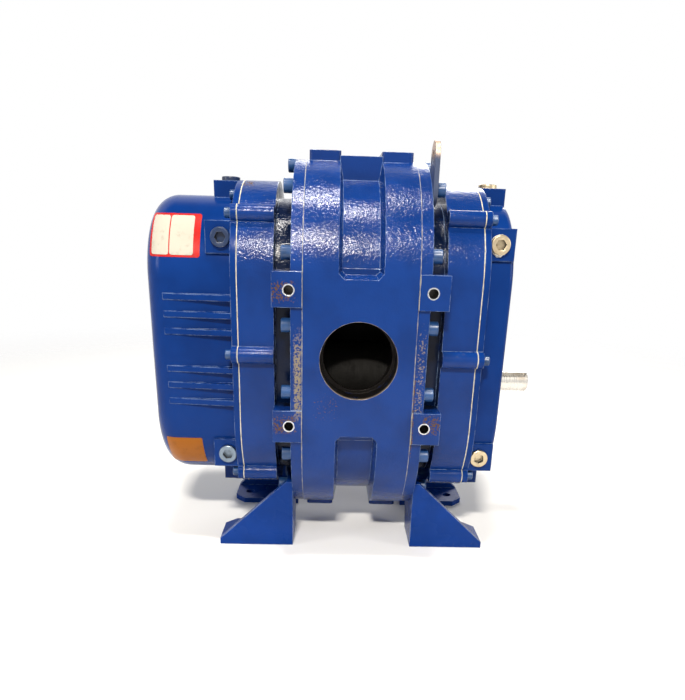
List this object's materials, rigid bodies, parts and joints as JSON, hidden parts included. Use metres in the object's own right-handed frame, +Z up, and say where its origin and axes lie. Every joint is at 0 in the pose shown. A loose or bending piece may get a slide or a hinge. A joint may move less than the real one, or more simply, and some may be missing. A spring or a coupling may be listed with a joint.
{
  "type": "rotary lobe pump",
  "caption": "Three-lobe rotary pump on four feet, with vertical round-ended casing, ported front and rear, oil-filled gear and drive covers and a keyed side input shaft.",
  "frame": {"origin": "on the floor at the centre of the four foot bolts, below the centre of the ports", "axes": "+X along the shafts to the drive end, +Y towards the rear port, +Z up"},
  "size_m": [0.546, 0.316, 0.5522],
  "materials": {
    "blue_casting": "glossy deep blue enamel over rough cast iron",
    "blue_cover": "smooth glossy deep blue enamel",
    "blue_steel": "glossy deep blue enamel over steel plate",
    "blue_screw": "blue enamel over socket screws",
    "gasket": "cream gasket edge",
    "bare_steel": "turned bare steel",
    "dark_steel": "oiled machined steel",
    "rotor_iron": "machined cast iron",
    "plated": "yellow-plated steel",
    "seal_rubber": "black rubber"
  },
  "bodies": {
    "housing": {"casing": "blue_casting", "gear_end_plate": "blue_casting", "drive_end_plate": "blue_casting", "gear_cover": "blue_cover", "drive_cover": "blue_cover", "gear_cover_gasket": "gasket", "drive_cover_gasket": "gasket", "gear_end_screws": "blue_screw", "drive_end_screws": "blue_screw", "gear_cover_screws": "blue_screw", "drive_cover_screws": "blue_screw", "foot_screws": "bare_steel", "dowel_pins": "bare_steel", "gear_cover_plugs": "blue_screw", "drive_cover_plugs": "plated", "foot_front_left": "blue_steel", "foot_front_right": "blue_steel", "foot_rear_left": "blue_steel", "foot_rear_right": "blue_steel", "lifting_eye": "blue_steel", "gear_end_bearing_outers": "bare_steel", "drive_end_bearing_outers": "bare_steel", "gear_end_retainers": "dark_steel", "drive_end_retainers": "dark_steel", "gear_end_seals": "seal_rubber", "drive_end_seals": "seal_rubber", "input_bearing_outer": "bare_steel", "input_seal": "seal_rubber"},
    "upper_rotor_set": {"upper_rotor": "rotor_iron", "upper_shaft": "bare_steel", "upper_timing_gear": "dark_steel", "upper_timing_nut": "dark_steel", "upper_bearing_inners": "bare_steel", "drive_pinion": "dark_steel", "pinion_nut": "dark_steel"},
    "lower_rotor_set": {"lower_rotor": "rotor_iron", "lower_shaft": "bare_steel", "lower_timing_gear": "dark_steel", "lower_timing_nut": "dark_steel", "lower_bearing_inners": "bare_steel"},
    "input_set": {"drive_shaft": "bare_steel", "drive_gear": "dark_steel", "input_bearing_inner": "bare_steel"}
  },
  "joints": [
    {"name": "drive_spin", "type": "hinge", "parent": "housing", "child": "input_set", "pos_m": [0, 0, 0.2315], "axis": [1, 0, 0], "continuous": true},
    {"name": "upper_rotor_spin", "type": "hinge", "parent": "housing", "child": "upper_rotor_set", "pos_m": [0, 0, 0.379], "axis": [1, 0, 0], "continuous": true},
    {"name": "lower_rotor_spin", "type": "hinge", "parent": "housing", "child": "lower_rotor_set", "pos_m": [0, 0, 0.195], "axis": [1, 0, 0], "continuous": true}
  ],
  "couplings": [
    {"joint": "drive_spin", "follows": "upper_rotor_spin", "ratio": -0.63889},
    {"joint": "lower_rotor_spin", "follows": "upper_rotor_spin", "ratio": -1}
  ]
}
